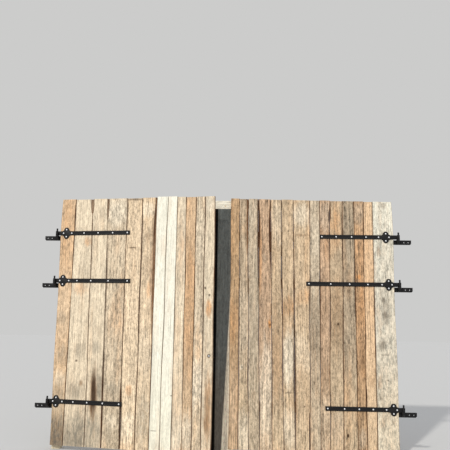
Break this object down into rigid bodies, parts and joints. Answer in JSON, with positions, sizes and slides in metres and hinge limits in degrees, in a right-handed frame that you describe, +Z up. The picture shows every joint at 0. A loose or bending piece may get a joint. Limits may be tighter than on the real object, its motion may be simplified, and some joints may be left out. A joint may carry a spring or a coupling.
{
  "type": "double-leaf barn door",
  "caption": "Boarded double barn door in a timber frame with centre post, hung on black strap hinges with four-lobed plates and wall pintles; one leaf ajar.",
  "frame": {"origin": "middle of the centre post's foot", "axes": "+X to the right seen from outside, +Y into the building, +Z up"},
  "size_m": [4.441, 0.4257, 2.9752],
  "materials": {
    "board_tan_orange": "sun-bleached sawn board, warm orange tan",
    "board_pale_beige": "weathered sawn board, pale beige",
    "board_grey_beige": "weathered sawn board, grey beige",
    "board_tan": "weathered sawn board, tan",
    "board_cream": "newer sawn board, pale cream",
    "board_grey_brown": "weathered sawn board, grey brown",
    "board_rust": "weathered sawn board, rust brown",
    "board_pink_tan": "weathered sawn board, pinkish tan",
    "board_olive_tan": "weathered sawn board, olive tan",
    "ledge_timber": "sawn, dull, indoor side",
    "frame_timber": "silver grey weathered timber",
    "oak_peg": "riven oak",
    "black_iron": "black paint, a little worn",
    "zinc_screw": "bright zinc"
  },
  "bodies": {
    "frame": {"frame_centre_post": "frame_timber", "frame_head": "frame_timber", "frame_jamb_left": "frame_timber", "frame_jamb_right": "frame_timber", "frame_pegs": "oak_peg", "left_pintle_bottom": "black_iron", "left_pintle_middle": "black_iron", "left_pintle_top": "black_iron", "pintle_plate_screws": "zinc_screw", "right_pintle_bottom": "black_iron", "right_pintle_middle": "black_iron", "right_pintle_top": "black_iron"},
    "left_leaf": {"left_board_01": "board_tan_orange", "left_board_02": "board_pale_beige", "left_board_03": "board_pale_beige", "left_board_04": "board_grey_beige", "left_board_05": "board_tan", "left_board_06": "board_tan", "left_board_07": "board_cream", "left_board_08": "board_cream", "left_board_09": "board_pale_beige", "left_board_10": "board_tan_orange", "left_board_11": "board_grey_beige", "left_board_12": "board_pale_beige", "left_brace_lower": "ledge_timber", "left_brace_upper": "ledge_timber", "left_ledge_bottom": "ledge_timber", "left_ledge_middle": "ledge_timber", "left_ledge_top": "ledge_timber", "left_strap_bottom": "black_iron", "left_strap_middle": "black_iron", "left_strap_screws": "zinc_screw", "left_strap_top": "black_iron"},
    "right_leaf": {"right_board_01": "board_cream", "right_board_02": "board_tan_orange", "right_board_03": "board_rust", "right_board_04": "board_grey_brown", "right_board_05": "board_tan", "right_board_06": "board_pink_tan", "right_board_07": "board_grey_beige", "right_board_08": "board_tan", "right_board_09": "board_tan", "right_board_10": "board_tan", "right_board_11": "board_pink_tan", "right_board_12": "board_grey_beige", "right_board_13": "board_grey_brown", "right_board_14": "board_olive_tan", "right_brace_lower": "ledge_timber", "right_brace_upper": "ledge_timber", "right_ledge_bottom": "ledge_timber", "right_ledge_middle": "ledge_timber", "right_ledge_top": "ledge_timber", "right_strap_bottom": "black_iron", "right_strap_middle": "black_iron", "right_strap_screws": "zinc_screw", "right_strap_top": "black_iron"}
  },
  "joints": [
    {"name": "left_leaf_hinge", "type": "hinge", "parent": "frame", "child": "left_leaf", "pos_m": [-2.052, -0.1014, 1.946], "axis": [0, 0, -1], "range_deg": [-8.5, 161.5]},
    {"name": "right_leaf_hinge", "type": "hinge", "parent": "frame", "child": "right_leaf", "pos_m": [2.069, -0.1014, 1.949], "axis": [0, 0, 1], "range_deg": [0, 170]}
  ]
}
